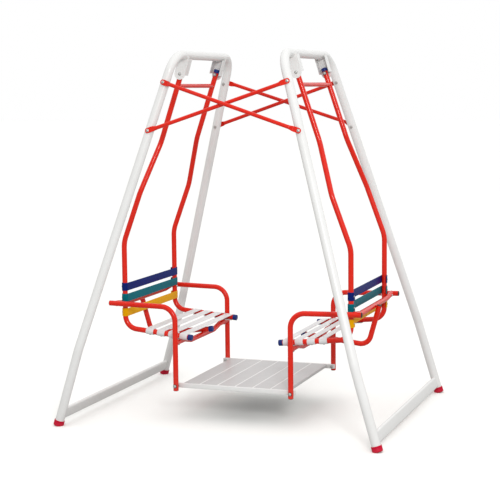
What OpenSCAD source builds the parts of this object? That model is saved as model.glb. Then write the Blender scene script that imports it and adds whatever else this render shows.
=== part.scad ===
// Garden glider swing: two facing seats joined by a foot deck, hung from two leaning U frames.
// The origin is on the floor under the middle. +X runs along the glide, -Y is the near side.
// Every piece is drawn for the right side (+X) or the near side (-Y) and mirrored for the other.

/* [Frame] */
// outside diameter of the frame tube
frame_d = 42; // [36:1:50]
// wall of the frame tube
frame_wall = 1.5; // [1:0.1:3]
// height of the centre line of the top bars
frame_h = 1715; // [1400:5:2100]
// half the distance between the two top bars
top_x = 260; // [210:5:320]
// half the distance between the feet along the glide
foot_x = 770; // [640:5:930]
// half the length of a top bar, corner to corner
top_y = 358; // [290:2:430]
// half the distance across a frame at the leg bends
knee_y = 602; // [490:2:730]
// half the distance across a frame at the floor
foot_y = 615; // [500:5:740]
// height of the leg bends
knee_z = 364; // [290:4:440]
// centre line radius of the top corners
corner_r = 100; // [80:5:120]
// centre line radius of the leg bends
knee_r = 200; // [150:10:260]
// height of a ground bar's section
ground_h = 56; // [45:1:68]
// thickness of a ground bar's section
ground_t = 18; // [14:1:24]

/* [Foot caps] */
// length of a foot cap along the leg
foot_cap_len = 27; // [22:1:34]
// wall of a foot cap
foot_cap_wall = 3; // [2:0.5:4]
// thickness of a foot cap's sole
foot_sole = 8; // [6:1:12]
// how far the sole's middle stands above the floor before it is cut level
foot_lift = 1; // [0:0.5:3]

/* [Braces] */
// outside diameter of a brace tube
brace_d = 18; // [15:1:22]
// wall of a brace tube
brace_wall = 1.2; // [1:0.1:2]
// thickness of a brace's flattened end
brace_plate = 3.5; // [2.5:0.5:5]
// width of a brace's flattened end
brace_plate_w = 25; // [20:1:30]
// length from a brace bolt to the start of the crimp
brace_flat = 24; // [20:1:32]
// length of the crimp between the flat end and the round tube
brace_crimp = 22; // [16:1:30]
// height of the upper brace bolts
brace_top_z = 1585; // [1300:5:1900]
// height of the lower brace bolts
brace_low_z = 1366; // [1100:5:1600]

/* [Hanger brackets] */
// distance from a top bar's centre line down to the pivot, along the leaning frame
pivot_drop = 91; // [76:1:110]
// thickness of the bracket sheet
bracket_t = 2; // [1.5:0.5:3]
// depth of the bracket from its web to the open side
bracket_depth = 42; // [34:1:50]

/* [Swing tubes] */
// outside diameter of the swing tube
tube_d = 25; // [22:1:30]
// wall of the swing tube
tube_wall = 1.5; // [1:0.1:2]
// half the distance between the hangers at the pivots
hanger_y = 222; // [180:2:260]
// half the distance between the seat posts and between the seat rails
post_y = 300; // [250:2:360]
// distance of a seat post from the middle of the swing
post_x = 561; // [500:1:640]
// distance of the first hanger bend from the middle of the swing
bend1_x = 393; // [370:1:420]
// height of the first hanger bend, where the hangers start to spread
bend1_z = 1310; // [1100:5:1450]
// distance of the second hanger bend from the middle of the swing
bend2_x = 472; // [440:1:500]
// height of the second hanger bend, where the spread ends
bend2_z = 1075; // [950:5:1200]
// height of the third hanger bend, where the upright post starts
bend3_z = 836; // [700:4:920]
// centre line radius of the hanger bends
bend_r = 150; // [100:10:200]
// centre line radius between a post and its seat rail
rail_r = 62; // [55:1:85]
// height of a seat rail's front end
rail_z = 390; // [340:2:440]
// slope of the seat rails, down towards the front
rail_slope = 5.5; // [0:0.5:8]
// distance of the seat rails' front ends from the middle of the swing
rail_end_x = 218; // [180:2:250]
// diameter of the tie between two hangers
tie_d = 20; // [16:1:24]
// distance of the tie below the pivot
tie_drop = 55; // [45:1:80]
// how far a hanger tube stands above its pivot
hanger_top = 24; // [18:1:30]

/* [Arms and legs] */
// half the distance between the two arms of a seat
arm_y = 342; // [310:2:400]
// height of an arm above its front bend
arm_z = 538; // [480:2:600]
// slope of the arms, down towards the front
arm_slope = 1.2; // [0:0.2:3]
// distance of the arms' rear ends from the middle of the swing
arm_end_x = 622; // [600:2:690]
// centre line radius between an arm and its leg
arm_r = 70; // [55:1:85]
// gap between a seat post and the arm tie behind it
arm_tie_gap = 2; // [1:0.5:6]
// how far the middle of an arm tie hangs below its ends
arm_tie_sag = 10; // [6:1:30]
// half width of the straight middle of an arm tie
arm_tie_mid = 240; // [190:5:270]
// length of the level ends of an arm tie, from the arm's centre line
arm_tie_end = 22; // [18:1:30]
// height of the ends of the bar under the seat
seat_bar_z = 368; // [320:1:400]
// how far the middle of the bar under the seat hangs below its ends
seat_bar_sag = 16.5; // [10:0.5:25]
// half width of the straight middle of the bar under the seat
seat_bar_mid = 150; // [110:5:190]
// half width at which the bar under the seat starts to drop
seat_bar_out = 230; // [200:5:270]
// centre line radius of the bends in the arm tie and the bar under the seat
tie_r = 60; // [40:5:80]
// length of a leg below the deck pivot
leg_foot = 22; // [18:1:30]

/* [Seat spine] */
// distance of the spine's lowest bend from the middle of the swing
spine_x = 560; // [500:2:600]
// height of the spine's lowest bend
spine_z = 345; // [310:1:380]
// distance of the spine's front end from the middle of the swing
spine_end_x = 232; // [200:2:260]
// centre line radius of the spine's bend
spine_r = 50; // [40:1:60]
// length of the spine above the middle of the arm tie
spine_top = 9; // [0:1:16]

/* [Slats] */
// thickness of a slat's strap
slat_t = 2.5; // [2:0.5:4]
// width of a slat
slat_w = 38; // [30:1:44]
// length of a slat's tail behind or under the tube
slat_tail = 16; // [12:1:24]
// distance of the front seat slat from the middle of the swing
slat_first_x = 258; // [256:1:275]
// pitch of the seat slats along the rails
slat_pitch = 58; // [50:1:64]
// number of seat slats
slat_count = 4; // [3:1:4]
// heights of the middles of the three back slats, from low to top
back_slat_z = [498, 568.5, 621];

/* [Caps, plugs and fasteners] */
// wall of the blue tube caps
cap_wall = 2; // [1.5:0.5:3]
// length of a blue tube cap
cap_len = 20; // [16:1:26]
// diameter of the pivot bolts
bolt_d = 8; // [6:1:10]
// thickness of a bolt head and of a nut
head_t = 5.5; // [4:0.5:7]
// width across a bolt head or a nut
head_d = 15; // [12:1:18]
// diameter of a bush body
bush_d = 12; // [11:0.5:15]
// diameter of a bush flange
bush_flange_d = 18; // [16:1:22]
// thickness of a bush flange
bush_flange_t = 2; // [1.5:0.5:3]
// diameter of a rivet shank
rivet_d = 4.8; // [4:0.2:6]
// diameter of a rivet head
rivet_head_d = 10; // [8:0.5:12]
// height of a rivet head
rivet_head_t = 2.5; // [2:0.5:4]
// diameter of a seat bolt
seat_bolt_d = 6; // [5:0.5:8]
// diameter of a seat bolt's head, nut and spacer
seat_bolt_head_d = 12; // [10:1:14]
// thickness of a seat bolt's head or nut
seat_bolt_head_t = 4; // [3:0.5:6]
// length of a plug's stem inside a tube
plug_len = 14; // [10:1:20]
// thickness of a plug's head
plug_head = 3; // [2:0.5:5]

/* [Deck] */
// height of the deck pivots
deck_z = 163; // [140:1:200]
// height of a deck rail
deck_rail_h = 21; // [18:1:28]
// thickness of a deck rail
deck_rail_t = 16; // [14:1:22]
// wall of a deck rail
deck_wall = 1.5; // [1:0.5:2.5]
// how far a deck rail runs past its pivots
deck_rail_over = 14; // [12:1:20]
// number of deck planks
plank_count = 6; // [5:1:6]
// width of a deck plank
plank_w = 80; // [70:1:84]
// gap between two deck planks
plank_gap = 8; // [5:1:12]
// sheet thickness of a deck plank
plank_t = 2; // [1.5:0.5:3]
// depth of a plank's turned-down edges
plank_edge = 14; // [10:1:18]
// thickness of the strips that close the gaps between planks
joiner_t = 3; // [2:0.5:5]
// how far those strips lie below the top of the planks
joiner_drop = 0.5; // [0:0.1:1.5]

/* [Fits] */
// largest swing to either side, in degrees
swing_max = 18; // [10:1:22]
// clearance on the radius of a turning pivot
run_fit = 0.05; // [0.02:0.01:0.1]
// clearance on the radius of fixed parts that slide over or into each other
fixed_fit = 0.1; // [0.05:0.05:0.3]
// gap between pieces that move past each other
side_gap = 1; // [0.5:0.1:2]

/* [Hidden] */
$fn = 48;
eps = 1;
seam_lap = 1;
seam_proud = 0.05;
frame_r = frame_d / 2;
tube_r = tube_d / 2;
bolt_r = bolt_d / 2;

// leaning plane of a frame, and the splayed plane of the near legs
lean = atan((foot_x - top_x) / frame_h);
frame_s = frame_h / cos(lean);
knee_s = knee_z / cos(lean);
splay = atan((knee_y - top_y) / (frame_h - knee_z));

// pivots
pivot_x = top_x + pivot_drop * sin(lean);
pivot_z = frame_h - pivot_drop * cos(lean);
hanger_cap_r = tube_r + fixed_fit + cap_wall;
hanger_cap_len = hanger_top + cap_wall - bush_flange_d / 2 - side_gap;
bracket_in = 2 * (hanger_cap_r + (hanger_top + cap_wall) * sin(swing_max + 3) + side_gap / 2);
bracket_w = bracket_in + 2 * bracket_t;
web_y = hanger_y + hanger_cap_r + side_gap;

// right seat, near side
function rail_height(x) = rail_z + (x - rail_end_x) * tan(rail_slope);
function arm_height(x) = arm_z + (x - pivot_x) * tan(arm_slope);
pivot_p = [pivot_x, -hanger_y, pivot_z];
bend1_p = [bend1_x, -hanger_y, bend1_z];
hanger_up = unit(pivot_p - bend1_p);
tie_p = pivot_p - hanger_up * (tie_drop / hanger_up.z);
arm_tie_x = post_x + tube_d + arm_tie_gap;
arm_tie_z = arm_height(arm_tie_x);
arm_tie_low = arm_tie_z - arm_tie_sag;
arm_tie_bend = arm_y - arm_tie_end;
rear_bolt_z = arm_tie_z - arm_tie_sag * (arm_tie_bend - post_y) / (arm_tie_bend - arm_tie_mid);
spine_far = [arm_tie_x, arm_tie_low] - [spine_x, spine_z];
spine_tilt = atan2(spine_far.x, spine_far.y) + asin(tube_d / norm(spine_far));
spine_dir = [sin(spine_tilt), cos(spine_tilt)];
spine_len = sqrt(norm(spine_far) ^ 2 - tube_d ^ 2) + spine_top;
spine_end_z = seat_bar_z - seat_bar_sag + tube_d
    + (pivot_x - spine_end_x) * (seat_bar_z - seat_bar_sag + tube_d - spine_z) / (spine_x - pivot_x);
spine_rise = atan((spine_end_z - spine_z) / (spine_x - spine_end_x));

// deck
deck_rail_y = arm_y - tube_r - bush_flange_t - side_gap - deck_rail_t;
deck_top = deck_z + deck_rail_h / 2;
plank_pitch = plank_w + plank_gap;

hanger_path = [
    pivot_p + hanger_up * hanger_top,
    bend1_p,
    [bend2_x, -post_y, bend2_z],
    [post_x, -post_y, bend3_z],
    [post_x, -post_y, rail_height(post_x)],
    [rail_end_x, -post_y, rail_height(rail_end_x)]];
arm_path = [
    [arm_end_x, -arm_y, arm_height(arm_end_x)],
    [pivot_x, -arm_y, arm_z],
    [pivot_x, -arm_y, deck_z - leg_foot]];
arm_tie_path = [
    [arm_tie_x, -arm_y, arm_tie_z], [arm_tie_x, -arm_tie_bend, arm_tie_z],
    [arm_tie_x, -arm_tie_mid, arm_tie_low], [arm_tie_x, arm_tie_mid, arm_tie_low],
    [arm_tie_x, arm_tie_bend, arm_tie_z], [arm_tie_x, arm_y, arm_tie_z]];
seat_bar_path = [
    [pivot_x, -arm_y, seat_bar_z], [pivot_x, -seat_bar_out, seat_bar_z],
    [pivot_x, -seat_bar_mid, seat_bar_z - seat_bar_sag],
    [pivot_x, seat_bar_mid, seat_bar_z - seat_bar_sag],
    [pivot_x, seat_bar_out, seat_bar_z], [pivot_x, arm_y, seat_bar_z]];
spine_path = [
    [spine_x + spine_dir.x * spine_len, 0, spine_z + spine_dir.y * spine_len],
    [spine_x, 0, spine_z],
    [spine_end_x, 0, spine_end_z]];

// sub-part to draw, or all of them

// ---------- tools ----------

function unit(v) = v / norm(v);
function side_of(v) = unit(cross(v, abs(v.z) > 0.9 * norm(v) ? [0, 1, 0] : [0, 0, 1]));
function turn_angle(p, i) = acos(unit(p[i] - p[i - 1]) * unit(p[i + 1] - p[i]));
function setback(p, r, i) = i == 0 || i == len(p) - 1 ? 0 : r[i] * tan(turn_angle(p, i) / 2);

// puts local X, Y and Z along x, y and their cross product, at o
module placed(o, x, y) {
    z = cross(x, y);
    multmatrix([
        [x.x, y.x, z.x, o.x], [x.y, y.y, z.y, o.y], [x.z, y.z, z.z, o.z], [0, 0, 0, 1]]) children();
}

// puts local Z along v, at o
module aimed(o, v) {
    x = side_of(v);
    placed(o, x, cross(unit(v), x)) children();
}

module ring(od, id) {
    difference() {
        circle(d = od);
        if (id > 0) circle(d = id);
    }
}

// unit normal of the bend at point i
function bend_normal(p, i) = unit(cross(p[i] - p[i - 1], p[i + 1] - p[i]));

// turn about the tube from the plane of the bend at i - 1 to that of the bend at i
function roll_angle(p, i) =
    let (a = bend_normal(p, i - 1), b = bend_normal(p, i))
    atan2(cross(a, b) * unit(p[i] - p[i - 1]), a * b);

// straight run from point i, then the bend at i + 1 and the rest; local Z runs along the tube.
// A bend's wall is a hair thicker than its runs, which reach a little way into it.
module tube_run(p, r, od, id, i = 0) {
    last = i == len(p) - 2;
    run = norm(p[i + 1] - p[i]) - setback(p, r, i) - setback(p, r, i + 1);
    from = i == 0 ? 0 : -seam_lap;
    translate([0, 0, from]) linear_extrude(run - from + (last ? 0 : seam_lap)) ring(od, id);
    if (!last) {
        bend = turn_angle(p, i + 1);
        radius = r[i + 1];
        translate([radius, 0, run]) {
            rotate([90, 0, 0]) rotate([0, 0, 180 - bend]) rotate_extrude(angle = bend)
                translate([radius, 0]) ring(od + 2 * seam_proud, id - 2 * seam_proud);
            rotate([0, bend, 0]) translate([-radius, 0, 0])
                rotate([0, 0, i < len(p) - 3 ? roll_angle(p, i + 2) : 0]) tube_run(p, r, od, id, i + 1);
        }
    }
}

// tube through the points p, bent with the centre line radii r
module bent_tube(p, r, od, id) {
    y = bend_normal(p, 1);
    placed(p[0], cross(y, unit(p[1] - p[0])), y) tube_run(p, r, od, id);
}

// solid rod from a to b
module rod(a, b, d) {
    aimed(a, b - a) cylinder(h = norm(b - a), d = d);
}

module near_and_far() {
    children();
    mirror([0, 1, 0]) children();
}

module left_side() {
    mirror([1, 0, 0]) children();
}

module far_side() {
    mirror([0, 1, 0]) children();
}

// local YZ is the leaning plane of the right frame, its origin on the floor
module leaning_plane() {
    translate([foot_x, 0, 0]) rotate([0, -lean, 0]) children();
}

// local XZ is the splayed plane of the near legs, its origin at the height of the top bars
module splayed_plane() {
    translate([0, -top_y, frame_h]) rotate([-splay, 0, 0]) children();
}

// ---------- frame ----------

leg_dir = unit([0, foot_y - knee_y, knee_s]);
frame_path = [
    [0, -foot_y, 0] + leg_dir * (foot_lift + foot_sole), [0, -knee_y, knee_s], [0, -top_y, frame_s],
    [0, top_y, frame_s], [0, knee_y, knee_s], [0, foot_y, 0] + [0, -leg_dir.y, leg_dir.z] * (foot_lift + foot_sole)];

// place of a brace bolt in the splayed plane, at height z
function brace_p(z) = [top_x + (foot_x - top_x) * (frame_h - z) / frame_h, (z - frame_h) / cos(splay)];
brace_top_p = brace_p(brace_top_z);
brace_low_p = brace_p(brace_low_z);
brace_span = [brace_top_p.x + brace_low_p.x, brace_low_p.y - brace_top_p.y];
brace_len = norm(brace_span);
brace_angle = atan2(-brace_span.y, brace_span.x);
brace_spacer = brace_plate + 0.5;
brace_seat = frame_r + fixed_fit;

module frame_tube() {
    difference() {
        leaning_plane()
            bent_tube(frame_path, [0, knee_r, corner_r, corner_r, knee_r, 0], frame_d, frame_d - 2 * frame_wall);
        near_and_far() splayed_plane() for (p = [brace_top_p, brace_low_p])
            translate([p.x, 0, p.y]) rotate([90, 0, 0])
                cylinder(h = frame_d + 2 * eps, d = bolt_d + 2 * fixed_fit, center = true);
    }
}

module flat_oval(w, t) {
    square([t, w - t], center = true);
    for (s = [-1, 1]) translate([0, s * (w - t) / 2]) circle(d = t);
}

ground_s = foot_lift + foot_cap_len + 1 + ground_h / 2;

module ground_bar() {
    ground_y = foot_y - leg_dir.y * ground_s;
    leaning_plane() difference() {
        translate([0, ground_y, ground_s]) rotate([90, 0, 0]) linear_extrude(2 * ground_y) difference() {
            flat_oval(ground_h, ground_t);
            flat_oval(ground_h - 2 * frame_wall, ground_t - 2 * frame_wall);
        }
        near_and_far() rod([0, -foot_y, 0], [0, -knee_y, knee_s], frame_d + 2 * fixed_fit);
    }
}

module foot_cap() {
    difference() {
        leaning_plane() aimed([0, -foot_y, 0] + leg_dir * foot_lift, leg_dir) difference() {
            cylinder(h = foot_cap_len, d = frame_d + 2 * (fixed_fit + foot_cap_wall));
            translate([0, 0, foot_sole]) cylinder(h = foot_cap_len, d = frame_d + 2 * fixed_fit);
        }
        translate([foot_x, -foot_y, -frame_d / 2]) cube([2 * frame_d, 2 * frame_d, frame_d], center = true);
    }
}

// ---------- braces ----------

// brace along local X from bolt to bolt; its flat ends lie against local Y = 0
// and its round part stands on the side that way points to
module brace(way) {
    mid = -brace_plate / 2 + way * (brace_d - brace_plate) / 2;
    round_from = brace_flat + brace_crimp;
    difference() {
        union() {
            translate([round_from, mid, 0]) rotate([90, 0, 90])
                linear_extrude(brace_len - 2 * round_from) ring(brace_d, brace_d - 2 * brace_wall);
            for (end = [0, 1]) translate([end * brace_len, 0, 0]) mirror([end, 0, 0]) {
                rotate([90, 0, 0]) linear_extrude(brace_plate) {
                    circle(d = brace_plate_w);
                    translate([0, -brace_plate_w / 2]) square([brace_flat, brace_plate_w]);
                }
                intersection() {
                    translate([brace_flat, mid, 0]) rotate([0, 90, 0])
                        cylinder(h = brace_crimp, d1 = brace_d * 1.5, d2 = brace_d);
                    translate([0, 0, -brace_d]) linear_extrude(2 * brace_d) polygon([
                        [brace_flat, 0], [brace_flat, -brace_plate],
                        [round_from, mid - brace_d / 2], [round_from, mid + brace_d / 2]]);
                }
            }
        }
        for (end = [0, 1]) translate([end * brace_len, eps, 0]) rotate([90, 0, 0])
            cylinder(h = brace_plate + 2 * eps, d = bolt_d + 2 * fixed_fit);
    }
}

// falls from the left top bolt to the right low one, on spacers
module brace_falling() {
    splayed_plane() translate([-brace_top_p.x, -brace_seat - brace_spacer, brace_top_p.y])
        rotate([0, brace_angle, 0]) brace(-1);
}

// rises from the left low bolt to the right top one, against the legs
module brace_rising() {
    splayed_plane() translate([-brace_low_p.x, -brace_seat, brace_low_p.y])
        rotate([0, -brace_angle, 0]) brace(1);
}

// bolt across the leg along local Y; its head lies against local Y = -stack
module brace_bolt(stack) {
    rotate([90, 0, 0]) {
        translate([0, 0, -frame_r - head_t - 2]) cylinder(h = frame_r + head_t + 2 + stack, d = bolt_d);
        translate([0, 0, stack]) cylinder(h = head_t * 0.6, d1 = head_d, d2 = head_d * 0.7);
        translate([0, 0, -frame_r - head_t - 0.2]) cylinder(h = head_t, d = head_d, $fn = 6);
    }
}

module brace_bolts() {
    flat = brace_seat + brace_plate;
    splayed_plane() {
        translate([brace_top_p.x, 0, brace_top_p.y]) brace_bolt(flat);
        translate([-brace_low_p.x, 0, brace_low_p.y]) brace_bolt(flat);
        for (p = [[-brace_top_p.x, brace_top_p.y], [brace_low_p.x, brace_low_p.y]]) translate([p.x, 0, p.y]) {
            brace_bolt(flat + brace_spacer);
            translate([0, -brace_seat, 0]) rotate([90, 0, 0]) difference() {
                cylinder(h = brace_spacer, d = brace_plate_w * 0.8);
                cylinder(h = brace_spacer, d = bolt_d);
            }
        }
    }
}

// ---------- hanger brackets and pivot bolts ----------

// sheet channel hung from the top bar, open towards the middle, with a round end about the pivot
module bracket() {
    leaning_plane() translate([0, 0, frame_s - pivot_drop]) difference() {
        union() {
            translate([0, -web_y, 0]) rotate([90, 0, 0]) linear_extrude(bracket_t) {
                circle(d = bracket_w);
                translate([-bracket_w / 2, 0]) square([bracket_w, pivot_drop]);
            }
            for (s = [-1, 1]) translate([s * (bracket_w - bracket_t) / 2, -web_y - bracket_t + bracket_depth / 2,
                (pivot_drop - frame_r / 2) / 2])
                cube([bracket_t, bracket_depth, pivot_drop - frame_r / 2], center = true);
        }
        translate([0, -web_y, pivot_drop]) rotate([90, 0, 0])
            cylinder(h = 2 * bracket_depth, d = frame_d + 2 * fixed_fit, center = true);
        translate([0, -web_y, 0]) rotate([90, 0, 0])
            cylinder(h = bracket_depth, d = bolt_d + 2 * fixed_fit, center = true);
    }
}

// bolt along Y through a tube whose centre is at y = 0; its head is out at -outer, its nut in at inner
module cross_bolt(outer, inner) {
    rotate([90, 0, 0]) {
        translate([0, 0, -inner - head_t - 2]) cylinder(h = inner + head_t + 2 + outer, d = bolt_d);
        translate([0, 0, outer]) cylinder(h = head_t, d1 = head_d, d2 = head_d * 0.7);
        translate([0, 0, -inner - head_t]) cylinder(h = head_t, d = head_d, $fn = 6);
    }
}

module pivot_bolt() {
    translate(pivot_p) cross_bolt(web_y + bracket_t - hanger_y, tube_r + bush_flange_t + side_gap / 2);
}

// ---------- seat ----------

module hanger() {
    difference() {
        bent_tube(hanger_path, [0, bend_r, bend_r, bend_r, rail_r, 0], tube_d, tube_d - 2 * tube_wall);
        translate(pivot_p) rotate([90, 0, 0])
            cylinder(h = tube_d + 2 * eps, d = bush_d + 2 * fixed_fit, center = true);
        for (z = back_slat_z) translate([post_x + tube_r, -post_y, z]) rotate([0, 90, 0])
            cylinder(h = tube_r, d = rivet_d + 2 * fixed_fit, center = true);
        for (i = [0:slat_count - 1]) rail_frame(i) translate([0, -post_y, -tube_r])
            cylinder(h = tube_r, d = rivet_d + 2 * fixed_fit, center = true);
        translate([post_x, -post_y, rear_bolt_z]) rotate([0, 90, 0])
            cylinder(h = tube_d + 2 * eps, d = seat_bolt_d + 2 * fixed_fit, center = true);
        translate([pivot_x, -post_y, rail_height(pivot_x)])
            cylinder(h = 2 * tube_d, d = seat_bolt_d + 2 * fixed_fit, center = true);
    }
}

module hanger_tie() {
    difference() {
        translate([tie_p.x, 0, tie_p.z]) rotate([90, 0, 0])
            linear_extrude(2 * hanger_y, center = true) ring(tie_d, tie_d - 2 * tube_wall);
        near_and_far() rod(bend1_p, pivot_p, tube_d + 2 * fixed_fit);
    }
}

module arm() {
    difference() {
        bent_tube(arm_path, [0, arm_r, 0], tube_d, tube_d - 2 * tube_wall);
        translate([pivot_x, -arm_y, deck_z]) rotate([90, 0, 0])
            cylinder(h = tube_d + 2 * eps, d = bush_d + 2 * fixed_fit, center = true);
    }
}

module arm_tie() {
    difference() {
        bent_tube(arm_tie_path, [0, tie_r, tie_r, tie_r, tie_r, 0], tube_d, tube_d - 2 * tube_wall);
        near_and_far() rod(arm_path[0], arm_path[1], tube_d + 2 * fixed_fit);
        near_and_far() translate([arm_tie_x, -post_y, rear_bolt_z]) rotate([0, 90, 0])
            cylinder(h = 2 * tube_d, d = seat_bolt_d + 2 * fixed_fit, center = true);
    }
}

module seat_bar() {
    difference() {
        bent_tube(seat_bar_path, [0, tie_r, tie_r, tie_r, tie_r, 0], tube_d, tube_d - 2 * tube_wall);
        near_and_far() rod(arm_path[1], arm_path[2], tube_d + 2 * fixed_fit);
        near_and_far() translate([pivot_x, -post_y, seat_bar_z])
            cylinder(h = 2 * tube_d, d = seat_bolt_d + 2 * fixed_fit, center = true);
    }
}

module spine() {
    bent_tube(spine_path, [0, spine_r, 0], tube_d, tube_d - 2 * tube_wall);
}

// local X runs back along the rails, local Z square to them, at seat slat i
module rail_frame(i) {
    x = slat_first_x + i * slat_pitch;
    translate([x, 0, rail_height(x)]) rotate([0, -rail_slope, 0]) children();
}

// strap across two tubes at x = -post_y and post_y: flat above, round the outsides, tails below
module strap_outline() {
    in_r = tube_r + fixed_fit;
    out_r = in_r + slat_t;
    translate([-post_y, in_r]) square([2 * post_y, slat_t]);
    for (s = [0, 1]) mirror([s, 0]) {
        translate([post_y - slat_tail, -out_r]) square([slat_tail, slat_t]);
        intersection() {
            translate([post_y, 0]) ring(2 * out_r, 2 * in_r);
            translate([post_y, -out_r]) square(2 * out_r);
        }
    }
}

module seat_slats() {
    for (i = [0:slat_count - 1]) rail_frame(i) difference() {
        rotate([90, 0, 90]) linear_extrude(slat_w, center = true) strap_outline();
        near_and_far() translate([0, -post_y, -tube_r - slat_t])
            cylinder(h = 2 * slat_t + eps, d = rivet_d + 2 * fixed_fit, center = true);
    }
}

module back_slat(i) {
    difference() {
        translate([post_x, 0, back_slat_z[i]]) rotate([0, 0, 90])
            linear_extrude(slat_w, center = true) strap_outline();
        near_and_far() translate([post_x + tube_r + slat_t, -post_y, back_slat_z[i]]) rotate([0, 90, 0])
            cylinder(h = 2 * slat_t + eps, d = rivet_d + 2 * fixed_fit, center = true);
    }
}

// cap over a tube end at p; the tube runs away along v
module tube_cap(p, v, len = cap_len) {
    aimed(p - unit(v) * cap_wall, v) difference() {
        cylinder(h = len, d = 2 * hanger_cap_r);
        translate([0, 0, cap_wall]) cylinder(h = len, d = tube_d + 2 * fixed_fit);
    }
}

module tube_caps() {
    near_and_far() {
        tube_cap(hanger_path[0], -hanger_up, hanger_cap_len);
        tube_cap(hanger_path[5], hanger_path[4] - hanger_path[5]);
    }
    tube_cap(spine_path[2], spine_path[1] - spine_path[2]);
}

// plug in a tube end at p; the tube runs away along v
module tube_plug(p, v) {
    aimed(p - unit(v) * plug_head, v) {
        cylinder(h = plug_head, d1 = tube_d - plug_head, d2 = tube_d);
        cylinder(h = plug_head + plug_len, d = tube_d - 2 * (tube_wall + fixed_fit));
    }
}

module tube_plugs() {
    near_and_far() {
        tube_plug(arm_path[0], arm_path[1] - arm_path[0]);
        aimed(arm_path[2] - [0, 0, plug_head], [0, 0, 1]) {
            cylinder(h = plug_head, d1 = tube_d - plug_head, d2 = tube_d);
            cylinder(h = plug_head + leg_foot - bush_flange_d / 2, d = tube_d - 2 * (tube_wall + fixed_fit));
        }
    }
    tube_plug(spine_path[0], spine_path[1] - spine_path[0]);
}

// flanged bush across a tube, turning on a pivot bolt along Y
module bush() {
    rotate([90, 0, 0]) difference() {
        union() {
            cylinder(h = tube_d, d = bush_d, center = true);
            for (s = [-1, 1]) translate([0, 0, s * (tube_r + bush_flange_t / 2)])
                cylinder(h = bush_flange_t, d = bush_flange_d, center = true);
        }
        cylinder(h = 2 * tube_d, d = bolt_d + 2 * run_fit, center = true);
    }
}

module bushes() {
    near_and_far() {
        translate(pivot_p) bush();
        translate([pivot_x, -arm_y, deck_z]) bush();
    }
}

// rivet standing on local Z = 0, its shank going down
module rivet() {
    cylinder(h = rivet_head_t, d1 = rivet_head_d, d2 = rivet_head_d * 0.5);
    translate([0, 0, -slat_t - fixed_fit - 2 * tube_wall])
        cylinder(h = slat_t + fixed_fit + 2 * tube_wall, d = rivet_d);
}

// bolt up local Z through a level tube and one that slopes above it, with a spacer gap thick about local Z = 0
module seat_bolt(gap, slope = 0) {
    tilt = seat_bolt_head_d / 2 * tan(slope);
    low = -tube_d - gap / 2;
    high = gap / 2 + tube_d / cos(slope) + 2 * tilt;
    translate([0, 0, low]) cylinder(h = high - low, d = seat_bolt_d);
    for (z = [low - seat_bolt_head_t, high]) translate([0, 0, z])
        cylinder(h = seat_bolt_head_t, d = seat_bolt_head_d);
    cylinder(h = gap, d = seat_bolt_head_d, center = true);
}

module fasteners() {
    strap_out = tube_r + fixed_fit + slat_t;
    bar_gap = rail_height(pivot_x) - tube_r / cos(rail_slope) - seat_bolt_head_d / 2 * tan(rail_slope)
        - (seat_bar_z + tube_r);
    near_and_far() {
        for (z = back_slat_z) translate([post_x + strap_out, -post_y, z]) rotate([0, 90, 0]) rivet();
        for (i = [0:slat_count - 1]) rail_frame(i) translate([0, -post_y, -strap_out]) rotate([180, 0, 0]) rivet();
        translate([post_x + tube_r + arm_tie_gap / 2, -post_y, rear_bolt_z]) rotate([0, 90, 0])
            seat_bolt(arm_tie_gap);
        translate([pivot_x, -post_y, seat_bar_z + tube_r + bar_gap / 2]) seat_bolt(bar_gap, rail_slope);
    }
}

// ---------- deck ----------

module deck_rail() {
    long = 2 * (pivot_x + deck_rail_over);
    difference() {
        translate([0, -deck_rail_y - deck_rail_t / 2, deck_z]) difference() {
            cube([long, deck_rail_t, deck_rail_h], center = true);
            cube([long - 2 * deck_wall, deck_rail_t - 2 * deck_wall, deck_rail_h - 2 * deck_wall], center = true);
        }
        for (s = [-1, 1]) translate([s * pivot_x, -deck_rail_y, deck_z]) rotate([90, 0, 0])
            cylinder(h = 3 * deck_rail_t, d = bolt_d + 2 * fixed_fit, center = true);
    }
}

module deck_planks() {
    for (i = [0:plank_count - 1])
        translate([(i - (plank_count - 1) / 2) * plank_pitch, 0, deck_top - plank_edge / 2]) difference() {
            cube([plank_w, 2 * deck_rail_y, plank_edge], center = true);
            translate([0, 0, -plank_t]) cube([plank_w - 2 * plank_t, 3 * deck_rail_y, plank_edge], center = true);
        }
}

// strips that close the gaps between the planks
module deck_joiner_set() {
    for (i = [1:plank_count - 1])
        translate([(i - plank_count / 2) * plank_pitch, 0, deck_top - joiner_drop - joiner_t / 2])
            cube([plank_gap - 2 * fixed_fit, 2 * deck_rail_y, joiner_t], center = true);
}

module deck_bolts() {
    near_and_far() translate([pivot_x, -arm_y, deck_z])
        cross_bolt(tube_r + bush_flange_t + side_gap / 2,
            tube_r + bush_flange_t + side_gap + deck_rail_t);
}

// ---------- sub-parts ----------

module frame_left() { color("white") left_side() frame_tube(); }
module frame_right() { color("white") frame_tube(); }
module ground_bar_left() { color("white") left_side() ground_bar(); }
module ground_bar_right() { color("white") ground_bar(); }
module foot_cap_left_near() { color("crimson") left_side() foot_cap(); }
module foot_cap_left_far() { color("crimson") left_side() far_side() foot_cap(); }
module foot_cap_right_near() { color("crimson") foot_cap(); }
module foot_cap_right_far() { color("crimson") far_side() foot_cap(); }
module bracket_left_near() { color("white") left_side() bracket(); }
module bracket_left_far() { color("white") left_side() far_side() bracket(); }
module bracket_right_near() { color("white") bracket(); }
module bracket_right_far() { color("white") far_side() bracket(); }
module brace_near_falling() { color("orangered") brace_falling(); }
module brace_near_rising() { color("orangered") brace_rising(); }
module brace_far_falling() { color("orangered") far_side() brace_falling(); }
module brace_far_rising() { color("orangered") far_side() brace_rising(); }
module brace_bolts_near() { color("silver") brace_bolts(); }
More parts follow.
